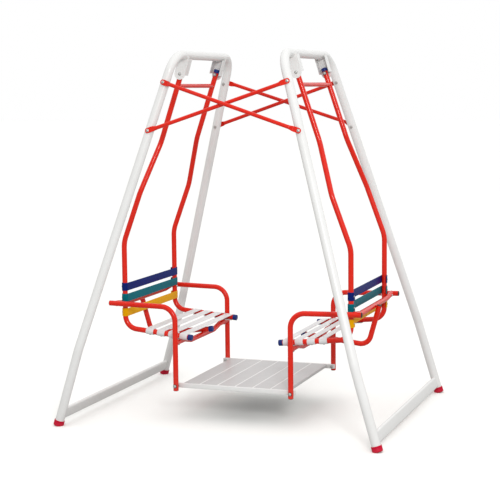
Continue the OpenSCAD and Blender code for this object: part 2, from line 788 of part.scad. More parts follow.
module brace_bolts_far() { color("silver") far_side() brace_bolts(); }
module pivot_bolts_left() { color("silver") left_side() near_and_far() pivot_bolt(); }
module pivot_bolts_right() { color("silver") near_and_far() pivot_bolt(); }
module hanger_left_near() { color("orangered") left_side() hanger(); }
module hanger_left_far() { color("orangered") left_side() far_side() hanger(); }
module hanger_right_near() { color("orangered") hanger(); }
module hanger_right_far() { color("orangered") far_side() hanger(); }
module hanger_tie_left() { color("orangered") left_side() hanger_tie(); }
module hanger_tie_right() { color("orangered") hanger_tie(); }
module arm_left_near() { color("orangered") left_side() arm(); }
module arm_left_far() { color("orangered") left_side() far_side() arm(); }
module arm_right_near() { color("orangered") arm(); }
module arm_right_far() { color("orangered") far_side() arm(); }
module arm_tie_left() { color("orangered") left_side() arm_tie(); }
module arm_tie_right() { color("orangered") arm_tie(); }
module seat_bar_left() { color("orangered") left_side() seat_bar(); }
module seat_bar_right() { color("orangered") seat_bar(); }
module spine_left() { color("orangered") left_side() spine(); }
module spine_right() { color("orangered") spine(); }
module back_slat_left_low() { color("goldenrod") left_side() back_slat(0); }
module back_slat_left_mid() { color("teal") left_side() back_slat(1); }
module back_slat_left_top() { color("navy") left_side() back_slat(2); }
module back_slat_right_low() { color("goldenrod") back_slat(0); }
module back_slat_right_mid() { color("teal") back_slat(1); }
module back_slat_right_top() { color("navy") back_slat(2); }
module seat_slats_left() { color("whitesmoke") left_side() seat_slats(); }
module seat_slats_right() { color("whitesmoke") seat_slats(); }
module tube_caps_left() { color("midnightblue") left_side() tube_caps(); }
module tube_caps_right() { color("midnightblue") tube_caps(); }
module tube_plugs_left() { color("black") left_side() tube_plugs(); }
module tube_plugs_right() { color("black") tube_plugs(); }
module bushes_left() { color("dimgray") left_side() bushes(); }
module bushes_right() { color("dimgray") bushes(); }
module fasteners_left() { color("silver") left_side() fasteners(); }
module fasteners_right() { color("silver") fasteners(); }
module deck_rail_near() { color("gainsboro") deck_rail(); }
module deck_rail_far() { color("gainsboro") far_side() deck_rail(); }
module deck_joiners() { color("white") deck_joiner_set(); }
module deck_bolts_left() { color("silver") left_side() deck_bolts(); }
module deck_bolts_right() { color("silver") deck_bolts(); }

frame_left();
frame_right();
ground_bar_left();
ground_bar_right();
foot_cap_left_near();
foot_cap_left_far();
foot_cap_right_near();
foot_cap_right_far();
bracket_left_near();
bracket_left_far();
bracket_right_near();
bracket_right_far();
brace_near_falling();
brace_near_rising();
brace_far_falling();
brace_far_rising();
brace_bolts_near();
brace_bolts_far();
pivot_bolts_left();
pivot_bolts_right();
hanger_left_near();
hanger_left_far();
hanger_right_near();
hanger_right_far();
hanger_tie_left();
hanger_tie_right();
arm_left_near();
arm_left_far();
arm_right_near();
arm_right_far();
arm_tie_left();
arm_tie_right();
seat_bar_left();
seat_bar_right();
spine_left();
spine_right();
back_slat_left_low();
back_slat_left_mid();
back_slat_left_top();
back_slat_right_low();
back_slat_right_mid();
back_slat_right_top();
seat_slats_left();
seat_slats_right();
tube_caps_left();
tube_caps_right();
tube_plugs_left();
tube_plugs_right();
bushes_left();
bushes_right();
fasteners_left();
fasteners_right();
deck_rail_near();
deck_rail_far();
deck_planks();
deck_joiners();
deck_bolts_left();
deck_bolts_right();
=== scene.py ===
# %% [markdown]
# # Glider swing
# Two leaning end frames carry two facing seats on long hanger tubes, and a slatted foot deck
# hangs level between the seats' legs. Nearly all of it is bent steel tube, so the lesson starts
# with a small tube bender and a small lathe, and then uses them for one group of parts at a time.

import math

import bmesh
import bpy
from mathutils import Matrix, Vector


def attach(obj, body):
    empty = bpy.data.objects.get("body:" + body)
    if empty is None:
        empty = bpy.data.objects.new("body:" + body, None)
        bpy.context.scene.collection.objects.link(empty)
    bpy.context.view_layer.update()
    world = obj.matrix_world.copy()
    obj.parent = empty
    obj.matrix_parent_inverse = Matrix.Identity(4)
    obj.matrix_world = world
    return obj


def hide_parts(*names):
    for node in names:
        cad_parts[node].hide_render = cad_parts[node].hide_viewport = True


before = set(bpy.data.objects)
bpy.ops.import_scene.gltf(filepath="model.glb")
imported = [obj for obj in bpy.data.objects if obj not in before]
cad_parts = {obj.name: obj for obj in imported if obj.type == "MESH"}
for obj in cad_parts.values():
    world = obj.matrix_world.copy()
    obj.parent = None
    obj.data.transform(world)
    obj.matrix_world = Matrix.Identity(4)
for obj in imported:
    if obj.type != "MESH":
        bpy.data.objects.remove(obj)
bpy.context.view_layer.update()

# %% [markdown]
# ## The camera
# The swing is seen from a little to the left of its near side and from about head height, with a
# long lens, so the near legs are only slightly larger than the far ones. The camera is built from
# its own right, up and back directions, which is the plainest way to give it a small roll.

# %% Camera
CAMERA_PLACE = Vector((2.2283, -6.1683, 1.5478))
azimuth, elevation, roll = (math.radians(a) for a in (20.1213, 6.6697, -0.558))
ahead = Vector((-math.sin(azimuth) * math.cos(elevation),
                math.cos(azimuth) * math.cos(elevation), -math.sin(elevation)))
level = Vector((math.cos(azimuth), math.sin(azimuth), 0))
lifted = level.cross(ahead)
camera_right = math.cos(roll) * level + math.sin(roll) * lifted
camera_up = -math.sin(roll) * level + math.cos(roll) * lifted
camera = bpy.data.objects.new("camera", bpy.data.cameras.new("camera"))
bpy.context.scene.collection.objects.link(camera)
camera.matrix_world = Matrix.Translation(CAMERA_PLACE) @ Matrix(
    (camera_right, camera_up, -ahead)).transposed().to_4x4()
camera.data.lens = 98.18
camera.data.sensor_width = 36
bpy.context.scene.camera = camera
print("camera at", [round(c, 2) for c in CAMERA_PLACE], "looking", [round(c, 2) for c in ahead])

# %% [markdown]
# ## The studio
# The swing stands on a plain pale floor that runs out of sight. One very wide, soft lamp far above
# lights the whole floor evenly and puts a soft shadow under the deck, and a smaller lamp from the
# right puts one long highlight along each tube. The sky is a clean white to look at, but it lights
# the swing only faintly, and the floor sends little light back up, so that the shaded side of every
# tube keeps its shape.

# %% Floor, sky and lamps
def studio_floor(size):
    bm = bmesh.new()
    bmesh.ops.create_grid(bm, x_segments=8, y_segments=8, size=size)
    mesh = bpy.data.meshes.new("floor")
    bm.to_mesh(mesh)
    bm.free()
    floor = bpy.data.objects.new("floor", mesh)
    bpy.context.scene.collection.objects.link(floor)
    paint = bpy.data.materials.new("studio floor")
    paint.use_nodes = True
    tree = paint.node_tree
    shown = tree.nodes["Principled BSDF"]
    shown.inputs["Base Color"].default_value = (0.97, 0.97, 0.945, 1)
    shown.inputs["Roughness"].default_value = 0.9
    bounced = tree.nodes.new("ShaderNodeBsdfDiffuse")
    bounced.inputs["Color"].default_value = (0.46, 0.46, 0.455, 1)
    path = tree.nodes.new("ShaderNodeLightPath")
    choose = tree.nodes.new("ShaderNodeMixShader")
    tree.links.new(path.outputs["Is Camera Ray"], choose.inputs[0])
    tree.links.new(bounced.outputs[0], choose.inputs[1])
    tree.links.new(shown.outputs[0], choose.inputs[2])
    tree.links.new(choose.outputs[0], tree.nodes["Material Output"].inputs["Surface"])
    mesh.materials.append(paint)
    return floor


def soft_lamp(name, place, target, size, power, colour=(1, 1, 1)):
    lamp = bpy.data.objects.new(name, bpy.data.lights.new(name, "AREA"))
    lamp.data.shape = "DISK"
    lamp.data.size = size
    lamp.data.energy = power
    lamp.data.color = colour
    lamp.location = place
    lamp.rotation_euler = (Vector(target) - Vector(place)).to_track_quat("-Z", "Y").to_euler()
    bpy.context.scene.collection.objects.link(lamp)
    return lamp


def far_lamp(name, way, spread, strength):
    lamp = bpy.data.objects.new(name, bpy.data.lights.new(name, "SUN"))
    lamp.data.angle = math.radians(spread)
    lamp.data.energy = strength
    lamp.rotation_euler = Vector(way).to_track_quat("-Z", "Y").to_euler()
    bpy.context.scene.collection.objects.link(lamp)
    return lamp


def studio_sky(seen, cast):
    sky = bpy.data.worlds.new("studio sky")
    sky.use_nodes = True
    tree = sky.node_tree
    lit = tree.nodes["Background"]
    lit.inputs["Color"].default_value = (1, 1, 1, 1)
    lit.inputs["Strength"].default_value = cast
    shown = tree.nodes.new("ShaderNodeBackground")
    shown.inputs["Color"].default_value = (1, 1, 1, 1)
    shown.inputs["Strength"].default_value = seen
    path = tree.nodes.new("ShaderNodeLightPath")
    choose = tree.nodes.new("ShaderNodeMixShader")
    tree.links.new(path.outputs["Is Camera Ray"], choose.inputs[0])
    tree.links.new(lit.outputs[0], choose.inputs[1])
    tree.links.new(shown.outputs[0], choose.inputs[2])
    tree.links.new(choose.outputs[0], tree.nodes["World Output"].inputs["Surface"])
    bpy.context.scene.world = sky
    return sky


studio_floor(60)
far_lamp("wide lamp above", (-0.05, -0.25, -1.0), 150, 1.50)
soft_lamp("key lamp", (2.8, -5.3, 3.0), (0, 0, 0.8), 1.4, 140)
studio_sky(1.0, 0.60)
bpy.context.scene.view_settings.view_transform = "Standard"
print("studio ready")

# %% [markdown]
# ## Finishes
# Everything is paint, moulded plastic or plated steel. A powder coat is never perfectly even: it
# has a fine orange-peel surface, tiny changes of shade, and dust towards the floor. Those three
# effects are made once, as shader groups, and each finish uses them with its own amounts.

# %% Shader group helpers
def shader_group(name, inputs, outputs):
    group = bpy.data.node_groups.new(name, "ShaderNodeTree")
    for label, kind, default in inputs:
        socket = group.interface.new_socket(name=label, in_out="INPUT", socket_type=kind)
        socket.default_value = default
    for label, kind in outputs:
        group.interface.new_socket(name=label, in_out="OUTPUT", socket_type=kind)
    return group, group.nodes.new("NodeGroupInput"), group.nodes.new("NodeGroupOutput")


def add_node(tree, kind, **settings):
    node = tree.nodes.new(kind)
    for key, value in settings.items():
        if key in node.inputs:
            node.inputs[key].default_value = value
        else:
            setattr(node, key, value)
    return node


# %% [markdown]
# The first group gives a soft cloudy change of shade: a slow noise, read in the object's own
# coordinates so that it stays put when the seats swing, turned into a number round 1.

# %% Cloudy shade group
cloud_group, cloud_in, cloud_out = shader_group(
    "cloudy shade",
    [("Colour", "NodeSocketColor", (1, 1, 1, 1)), ("Darker", "NodeSocketColor", (0.8, 0.8, 0.8, 1)),
     ("Scale", "NodeSocketFloat", 6.0), ("Amount", "NodeSocketFloat", 0.3)],
    [("Colour", "NodeSocketColor")])
place = add_node(cloud_group, "ShaderNodeTexCoord")
noise = add_node(cloud_group, "ShaderNodeTexNoise", Detail=4.0, Roughness=0.6)
spread = add_node(cloud_group, "ShaderNodeMapRange")
spread.inputs["From Min"].default_value = 0.35
spread.inputs["From Max"].default_value = 0.7
scale_by = add_node(cloud_group, "ShaderNodeMath", operation="MULTIPLY")
mix = add_node(cloud_group, "ShaderNodeMix", data_type="RGBA")
link = cloud_group.links.new
link(place.outputs["Object"], noise.inputs["Vector"])
link(cloud_in.outputs["Scale"], noise.inputs["Scale"])
link(noise.outputs["Fac"], spread.inputs["Value"])
link(spread.outputs["Result"], scale_by.inputs[0])
link(cloud_in.outputs["Amount"], scale_by.inputs[1])
link(scale_by.outputs[0], mix.inputs["Factor"])
link(cloud_in.outputs["Colour"], mix.inputs[6])
link(cloud_in.outputs["Darker"], mix.inputs[7])
link(mix.outputs[2], cloud_out.inputs["Colour"])
print("made group", cloud_group.name)

# %% [markdown]
# The second group is dust. It gathers low down, so it reads the height above the floor, breaks the
# edge up with noise, and blends a grey into the colour and more roughness into the gloss.

# %% Floor dust group
dust_group, dust_in, dust_out = shader_group(
    "floor dust",
    [("Colour", "NodeSocketColor", (1, 1, 1, 1)), ("Roughness", "NodeSocketFloat", 0.3),
     ("Height", "NodeSocketFloat", 0.25), ("Amount", "NodeSocketFloat", 0.25)],
    [("Colour", "NodeSocketColor"), ("Roughness", "NodeSocketFloat")])
place = add_node(dust_group, "ShaderNodeTexCoord")
split = add_node(dust_group, "ShaderNodeSeparateXYZ")
specks = add_node(dust_group, "ShaderNodeTexNoise", Scale=60.0, Detail=6.0, Roughness=0.7)
low = add_node(dust_group, "ShaderNodeMapRange")
low.inputs["From Min"].default_value = 0.0
low.inputs["To Min"].default_value = 1.0
low.inputs["To Max"].default_value = 0.0
uneven = add_node(dust_group, "ShaderNodeMath", operation="MULTIPLY")
strength = add_node(dust_group, "ShaderNodeMath", operation="MULTIPLY")
tint = add_node(dust_group, "ShaderNodeMix", data_type="RGBA")
tint.inputs[7].default_value = (0.46, 0.43, 0.38, 1)
rougher = add_node(dust_group, "ShaderNodeMix", data_type="FLOAT")
rougher.inputs[3].default_value = 0.8
link = dust_group.links.new
link(place.outputs["Object"], split.inputs[0])
link(place.outputs["Object"], specks.inputs["Vector"])
link(split.outputs["Z"], low.inputs["Value"])
link(dust_in.outputs["Height"], low.inputs["From Max"])
link(low.outputs["Result"], uneven.inputs[0])
link(specks.outputs["Fac"], uneven.inputs[1])
link(uneven.outputs[0], strength.inputs[0])
link(dust_in.outputs["Amount"], strength.inputs[1])
link(strength.outputs[0], tint.inputs["Factor"])
link(dust_in.outputs["Colour"], tint.inputs[6])
link(strength.outputs[0], rougher.inputs[0])
link(dust_in.outputs["Roughness"], rougher.inputs[2])
link(tint.outputs[2], dust_out.inputs["Colour"])
link(rougher.outputs[0], dust_out.inputs["Roughness"])
print("made group", dust_group.name)

# %% [markdown]
# The third group is the fine surface itself: a tight noise for the height of a Bump node. Paint
# gets a faint orange peel about a millimetre across, and plastic a finer, drier grain.

# %% Fine surface group
grain_group, grain_in, grain_out = shader_group(
    "fine surface",
    [("Scale", "NodeSocketFloat", 700.0), ("Detail", "NodeSocketFloat", 2.0)],
    [("Height", "NodeSocketFloat")])
place = add_node(grain_group, "ShaderNodeTexCoord")
peel = add_node(grain_group, "ShaderNodeTexNoise", Roughness=0.5)
link = grain_group.links.new
link(place.outputs["Object"], peel.inputs["Vector"])
link(grain_in.outputs["Scale"], peel.inputs["Scale"])
link(grain_in.outputs["Detail"], peel.inputs["Detail"])
link(peel.outputs["Fac"], grain_out.inputs["Height"])
print("made group", grain_group.name)

# %% [markdown]
# A finish joins the groups to one Principled shader. Colours are given as they look on a screen
# and changed to the linear values that the shader wants.

# %% Finish maker
def linear(colour):
    return tuple(c / 12.92 if c <= 0.04045 else ((c + 0.055) / 1.055) ** 2.4 for c in colour) + (1,)


def finish(name, colour, darker, roughness, coat=0.0, metallic=0.0, cloud=(6.0, 0.35),
           grain=(700.0, 0.00003), dust=(0.25, 0.25), sheen=0.3):
    made = bpy.data.materials.new(name)
    made.use_nodes = True
    tree = made.node_tree
    shader = tree.nodes["Principled BSDF"]
    shade = add_node(tree, "ShaderNodeGroup", node_tree=cloud_group)
    shade.inputs["Colour"].default_value = linear(colour)
    shade.inputs["Darker"].default_value = linear(darker)
    shade.inputs["Scale"].default_value, shade.inputs["Amount"].default_value = cloud
    settled = add_node(tree, "ShaderNodeGroup", node_tree=dust_group)
    settled.inputs["Roughness"].default_value = roughness
    settled.inputs["Height"].default_value, settled.inputs["Amount"].default_value = dust
    surface = add_node(tree, "ShaderNodeGroup", node_tree=grain_group)
    surface.inputs["Scale"].default_value = grain[0]
    bump = add_node(tree, "ShaderNodeBump", Strength=0.5, Distance=grain[1])
    tree.links.new(shade.outputs["Colour"], settled.inputs["Colour"])
    tree.links.new(settled.outputs["Colour"], shader.inputs["Base Color"])
    tree.links.new(settled.outputs["Roughness"], shader.inputs["Roughness"])
    tree.links.new(surface.outputs["Height"], bump.inputs["Height"])
    tree.links.new(bump.outputs["Normal"], shader.inputs["Normal"])
    shader.inputs["Metallic"].default_value = metallic
    shader.inputs["Coat Weight"].default_value = coat
    shader.inputs["Coat Roughness"].default_value = 0.12
    shader.inputs["Specular IOR Level"].default_value = sheen
    print("finish", name)
    return made


# %% The swing's own finishes
white_coat = finish("white powder coat", (0.90, 0.90, 0.895), (0.865, 0.865, 0.855), 0.34, coat=0.2)
red_coat = finish("vermilion powder coat", (0.865, 0.125, 0.02), (0.79, 0.07, 0.02), 0.26, coat=0.3,
                  sheen=0.2)
deck_coat = finish("pale grey deck coat", (0.765, 0.765, 0.765), (0.725, 0.725, 0.725), 0.45, coat=0.1,
                   cloud=(9.0, 0.5), dust=(0.4, 0.3))
deck_white = finish("white deck trim", (0.90, 0.90, 0.895), (0.86, 0.86, 0.855), 0.4, coat=0.1)
red_foot = finish("crimson foot plastic", (0.76, 0.0, 0.18), (0.68, 0.0, 0.14), 0.42,
                  grain=(1500.0, 0.00004), dust=(0.03, 0.12), sheen=0.08)
blue_slat = finish("navy slat plastic", (0.05, 0.13, 0.42), (0.04, 0.09, 0.33), 0.36,
                   grain=(1400.0, 0.00004), dust=(0.25, 0.06), sheen=0.06)
teal_slat = finish("teal slat plastic", (0.0, 0.41, 0.46), (0.0, 0.36, 0.41), 0.36,
                   grain=(1400.0, 0.00004), dust=(0.25, 0.06), sheen=0.06)
yellow_slat = finish("yellow slat plastic", (0.90, 0.66, 0.0), (0.84, 0.57, 0.0), 0.36,
                     grain=(1400.0, 0.00004), dust=(0.25, 0.06), sheen=0.06)
white_slat = finish("white slat plastic", (0.86, 0.86, 0.86), (0.81, 0.81, 0.815), 0.4,
                    grain=(1400.0, 0.00004))
blue_cap = finish("blue cap plastic", (0.10, 0.19, 0.46), (0.06, 0.12, 0.34), 0.34,
                  grain=(1500.0, 0.00004), sheen=0.2)
black_plastic = finish("black plug plastic", (0.16, 0.16, 0.17), (0.10, 0.10, 0.11), 0.45,
                       grain=(1500.0, 0.00004), sheen=0.2)
plated_steel = finish("zinc plated steel", (0.80, 0.80, 0.79), (0.66, 0.66, 0.64), 0.30, metallic=1.0,
                      cloud=(120.0, 0.6), grain=(900.0, 0.00005))

# %% [markdown]
# ## A tube bender
# A real bender feeds straight tube and wraps it round a former. The same two moves make the mesh:
# a ring of edges is pushed along for each straight run, and spun about the former's centre for
# each bend. That gives a clean tube with even faces and no seams, for any row of corner points.

# %% Moves: run and turn
RING_SIDES = 40


def run(bm, ring, way):
    made = bmesh.ops.extrude_edge_only(bm, edges=ring)["geom"]
    verts = [g for g in made if isinstance(g, bmesh.types.BMVert)]
    moved = set(verts)
    bmesh.ops.translate(bm, verts=verts, vec=way)
    return [g for g in made if isinstance(g, bmesh.types.BMEdge) and set(g.verts) <= moved]


def turn(bm, ring, centre, axis, angle):
    steps = max(6, math.ceil(abs(angle) / math.radians(6)))
    corners = list({v for e in ring for v in e.verts})
    made = bmesh.ops.spin(bm, geom=corners + ring, cent=centre, axis=axis, dvec=(0, 0, 0),
                          angle=angle, steps=steps, use_merge=False, use_duplicate=False)
    return [g for g in made["geom_last"] if isinstance(g, bmesh.types.BMEdge)]


# %% [markdown]
# A placing matrix puts a part that was made about its own Z axis anywhere on the swing. `aimed`
# gives one from a point and a direction.

# %% Placing and joining
def aimed(place, way):
    way = Vector(way).normalized()
    side = way.cross(Vector((0, 0, 1)) if abs(way.z) < 0.9 else Vector((0, 1, 0))).normalized()
    return Matrix.Translation(place) @ Matrix((side, way.cross(side), way)).transposed().to_4x4()


def join(whole, part, place=Matrix()):
    bmesh.ops.remove_doubles(part, verts=part.verts, dist=0.00001)
    bmesh.ops.recalc_face_normals(part, faces=part.faces)
    bmesh.ops.transform(part, matrix=place, verts=part.verts)
    if place.determinant() < 0:
        bmesh.ops.reverse_faces(part, faces=part.faces)
    scratch = bpy.data.meshes.new("scratch")
    part.to_mesh(scratch)
    part.free()
    whole.from_mesh(scratch)
    bpy.data.meshes.remove(scratch)


# %% [markdown]
# `piece` turns a finished bmesh into an object: faces are smooth, edges sharper than 40 degrees
# stay sharp, and the object rides on its body and stands for the engineering parts it replaces.

# %% Piece maker
def piece(name, bm, body, coat, slot, *stands_for):
    mesh = bpy.data.meshes.new(name)
    bm.to_mesh(mesh)
    bm.free()
    mesh.shade_smooth()
    mesh.set_sharp_from_angle(angle=math.radians(40))
    mesh.materials.append(coat)
    made = bpy.data.objects.new(name, mesh)
    bpy.context.scene.collection.objects.link(made)
    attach(made, body)
    if stands_for:
        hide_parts(*stands_for)
    print(f"{name}: {len(mesh.polygons)} faces on {body}")
    return made


# %% The bender itself
def bent_tube(points, radii, diameter, wall):
    points = [Vector(p) for p in points]
    ways = [(b - a).normalized() for a, b in zip(points, points[1:])]
    bends = [0] + [a.angle(b) for a, b in zip(ways, ways[1:])] + [0]
    back = [r * math.tan(b / 2) for r, b in zip(radii, bends)]
    bm = bmesh.new()
    bmesh.ops.create_circle(bm, segments=RING_SIDES, radius=diameter / 2, matrix=aimed(points[0], ways[0]))
    ring = list(bm.edges)
    for i, way in enumerate(ways):
        ring = run(bm, ring, way * ((points[i + 1] - points[i]).length - back[i] - back[i + 1]))
        if i + 1 < len(ways):
            axis = way.cross(ways[i + 1]).normalized()
            start = points[i + 1] - way * back[i + 1]
            ring = turn(bm, ring, start + axis.cross(way) * radii[i + 1], axis, bends[i + 1])
    bmesh.ops.recalc_face_normals(bm, faces=bm.faces)
    bmesh.ops.solidify(bm, geom=list(bm.faces), thickness=wall)
    return bm


# %% [markdown]
# ## The sizes
# All lengths are in metres. The right seat and its near side are described once; the left seat and
# the far side are the same points with x or y turned over.

# %% Frame sizes
FRAME_TUBE, FRAME_WALL = 0.042, 0.0015
TOP_X, FOOT_X, FRAME_H = 0.260, 0.770, 1.715
TOP_Y, KNEE_Y, FOOT_Y, KNEE_Z = 0.358, 0.602, 0.615, 0.364
lean = math.atan((FOOT_X - TOP_X) / FRAME_H)
splay = math.atan((KNEE_Y - TOP_Y) / (FRAME_H - KNEE_Z))
slant = 1 / math.cos(lean)


def in_frame(y, s):
    """A point of the right frame's leaning plane, s metres up the slope."""
    return Vector((FOOT_X - s * math.sin(lean), y, s * math.cos(lean)))


leg_way = (in_frame(-KNEE_Y, KNEE_Z * slant) - in_frame(-FOOT_Y, 0)).normalized()
PIVOT = in_frame(0, FRAME_H * slant - 0.091)
print("lean", round(math.degrees(lean), 2), "pivot", [round(c, 4) for c in PIVOT])

# %% Seat sizes
TUBE, WALL = 0.025, 0.0015
HANGER_Y, POST_X, POST_Y, ARM_Y = 0.222, 0.561, 0.300, 0.342
RAIL_SLOPE, ARM_SLOPE = math.radians(5.5), math.radians(1.2)
RAIL_END_X, RAIL_Z = 0.218, 0.390
ARM_END_X, ARM_Z, ARM_BEND_R = 0.622, 0.538, 0.070
SEAT_BAR_Z, SEAT_BAR_SAG = 0.368, 0.0165
SPINE_X, SPINE_Z, SPINE_END_X, SPINE_TOP = 0.560, 0.345, 0.232, 0.009
TIE_BEND_R, TIE_BEND_Y, TIE_MIDDLE_Y = 0.060, 0.320, 0.240
DECK_Z, LEG_FOOT = 0.163, 0.022


def rail_z(x):
    return RAIL_Z + (x - RAIL_END_X) * math.tan(RAIL_SLOPE)


def arm_z(x):
    return ARM_Z + (x - PIVOT.x) * math.tan(ARM_SLOPE)


def mirrored(point, side=1, far=1):
    return Vector((point[0] * side, point[1] * far, point[2]))


SIDES = (("left", -1), ("right", 1))
ENDS = (("near", 1), ("far", -1))
print("seat rail height at the back", round(rail_z(POST_X), 3))

# %% [markdown]
# ## End frames
# Each frame is one 42 mm tube: up one leg, over the top and down the other, with a gentle knee near
# the floor where the legs turn upright. One flat-sided oval bar joins the feet.

# %% Frame tubes
frame_path = [
    in_frame(-FOOT_Y, 0) + leg_way * 0.009, in_frame(-KNEE_Y, KNEE_Z * slant),
    in_frame(-TOP_Y, FRAME_H * slant)]
frame_path += [mirrored(p, 1, -1) for p in reversed(frame_path)]
for side, sx in SIDES:
    bm = bent_tube([mirrored(p, sx) for p in frame_path], [0, 0.2, 0.1, 0.1, 0.2, 0], FRAME_TUBE, FRAME_WALL)
    piece(f"frame_tube_{side}", bm, "frame", white_coat, "white_enamel", f"frame_{side}")

# %% [markdown]
# The ground bar starts as a flat plate whose four corners are rounded right down to half circles,
# which makes the oval outline, and that outline is drawn along from leg to leg.

# %% Ground bars
GROUND_H, GROUND_T, GROUND_S = 0.056, 0.018, 0.001 + 0.027 + 0.001 + 0.028


def oval_bar(width, thickness, length, wall):
    bm = bmesh.new()
    bmesh.ops.create_grid(bm, x_segments=1, y_segments=1, size=0.5)
    bmesh.ops.scale(bm, vec=(thickness, width, 1), verts=bm.verts)
    bmesh.ops.bevel(bm, geom=list(bm.verts), affect="VERTICES", offset=thickness / 2 - 0.00001,
                    segments=8, profile=0.5, material=-1)
    bmesh.ops.delete(bm, geom=list(bm.faces), context="FACES_ONLY")
    bmesh.ops.translate(bm, verts=bm.verts, vec=(0, 0, -length / 2))
    run(bm, list(bm.edges), Vector((0, 0, length)))
    bmesh.ops.recalc_face_normals(bm, faces=bm.faces)
    bmesh.ops.solidify(bm, geom=list(bm.faces), thickness=wall)
    return bm


for side, sx in SIDES:
    bar_y = FOOT_Y - abs(leg_way.y) * GROUND_S
    bar = bmesh.new()
    middle = mirrored(in_frame(0, GROUND_S), sx)
    across = mirrored(Vector((math.cos(lean), 0, math.sin(lean))), sx)
    upward = mirrored(Vector((-math.sin(lean), 0, math.cos(lean))), sx)
    along = across.cross(upward)
    turned = Matrix((across, upward, along)).transposed().to_4x4()
    join(bar, oval_bar(GROUND_H, GROUND_T, 2 * bar_y - 0.012, FRAME_WALL),
         Matrix.Translation(middle) @ turned)
    piece(f"ground_bar_{side}_tube", bar, "frame", white_coat, "white_enamel", f"ground_bar_{side}")

# %% [markdown]
# ## A lathe
# Caps, plugs, bushes, washers, rivets and bolt heads are all turned shapes. A short profile of
# (radius, height) points is spun once round the Z axis, and a nut is a six-sided cone frustum with
# its corners bevelled.

# %% Lathe and nut
def lathe(profile, steps=36):
    bm = bmesh.new()
    corners = [bm.verts.new((r, 0, z)) for r, z in profile]
    lines = [bm.edges.new(pair) for pair in zip(corners, corners[1:])]
    bmesh.ops.spin(bm, geom=corners + lines, cent=(0, 0, 0), axis=(0, 0, 1), dvec=(0, 0, 0),
                   angle=math.tau, steps=steps, use_merge=True, use_duplicate=False)
    return bm


def hex_nut(across_corners, height):
    bm = bmesh.new()
    bmesh.ops.create_cone(bm, cap_ends=True, segments=6, radius1=across_corners / 2,
                          radius2=across_corners / 2, depth=height)
    rims = [e for e in bm.edges if abs(e.verts[0].co.z - e.verts[1].co.z) < 1e-6]
    bmesh.ops.bevel(bm, geom=rims, affect="EDGES", offset=height * 0.16, segments=2, profile=0.5, material=-1)
    bmesh.ops.translate(bm, verts=bm.verts, vec=(0, 0, height / 2))
    return bm


# %% [markdown]
# ## Foot caps
# A thick plastic cup is pushed on each leg. It follows the leg's slant, so its underside is cut
# level where it meets the floor: the cup is turned whole and then sliced at floor height.

# %% Foot caps
CUP = [(0, 0), (0.0221, 0), (0.0241, 0.002), (0.0241, 0.0185), (0.0236, 0.0192), (0.0241, 0.0199),
       (0.0241, 0.0255), (0.0233, 0.0268), (0.0222, 0.027), (0.0212, 0.0262), (0.0211, 0.008), (0, 0.008)]
for side, sx in SIDES:
    for end, sy in ENDS:
        cup = bmesh.new()
        foot = in_frame(-FOOT_Y, 0) + leg_way * 0.001
        join(cup, lathe(CUP, 48), aimed(mirrored(foot, sx, sy), mirrored(leg_way, sx, sy)))
        bmesh.ops.bisect_plane(cup, geom=list(cup.verts) + list(cup.edges) + list(cup.faces),
                               plane_co=(0, 0, 0), plane_no=(0, 0, 1), clear_inner=True)
        bmesh.ops.holes_fill(cup, edges=[e for e in cup.edges if e.is_boundary])
        bmesh.ops.recalc_face_normals(cup, faces=cup.faces)
        piece(f"foot_cup_{side}_{end}", cup, "frame", red_foot, "red_foot", f"foot_cap_{side}_{end}")

# %% [markdown]
# ## Hanger brackets
# The folded sheet brackets are small flat parts that the engineering model already shows exactly,
# so they only get their paint.

# %% Bracket paint
for node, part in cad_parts.items():
    if node.startswith("bracket"):
        part.data.materials.clear()
        part.data.materials.append(white_coat)
print("brackets painted")

# %% [markdown]
# ## Braces
# Two crossed tubes stiffen each side. Their ends are squashed flat in a press and rounded, then
# bolted through. The same idea makes the mesh: a ring is pushed along, and near each end it is
# scaled from a circle to a flat oval, and from there to nothing in a few steps that draw the
# rounded tip.

# %% Brace sizes
BRACE, PLATE, PLATE_W = 0.018, 0.0035, 0.025
BRACE_TOP_Z, BRACE_LOW_Z = 1.585, 1.366


def brace_point(z):
    return TOP_X + (FOOT_X - TOP_X) * (FRAME_H - z) / FRAME_H, (z - FRAME_H) / math.cos(splay)


top_x, top_z = brace_point(BRACE_TOP_Z)
low_x, low_z = brace_point(BRACE_LOW_Z)
print("brace length", round(math.hypot(top_x + low_x, top_z - low_z), 3))

# %% [markdown]
# The mesh is pushed along in equal steps as a plain round bar, one step for each station. A second
# pass, the press, then moves every ring to its own place and size: round in the middle, flat at
# the ends, with its thickness held to the plate's.

# %% Pressed brace
BRACE_FLAT, BRACE_CRIMP = 0.024, 0.022


def brace_stations(length, way):
    half, flat, shift = PLATE_W / 2, PLATE / 2, way * (BRACE - PLATE) / 2
    tip = [(-half * math.sin(a), 0, half * math.cos(a), flat)
           for a in map(math.radians, (86, 72, 55, 36, 18, 0))]
    crimp = []
    for part in (0.0, 0.25, 0.5, 0.75, 1.0):
        ease = part * part * (3 - 2 * part)
        crimp.append((BRACE_FLAT + part * BRACE_CRIMP, shift * ease,
                      half + (BRACE / 2 - half) * ease, flat + (BRACE / 2 - flat) * ease))
    near = tip + crimp
    return near + [(length - x, c, w, t) for x, c, w, t in reversed(near)]


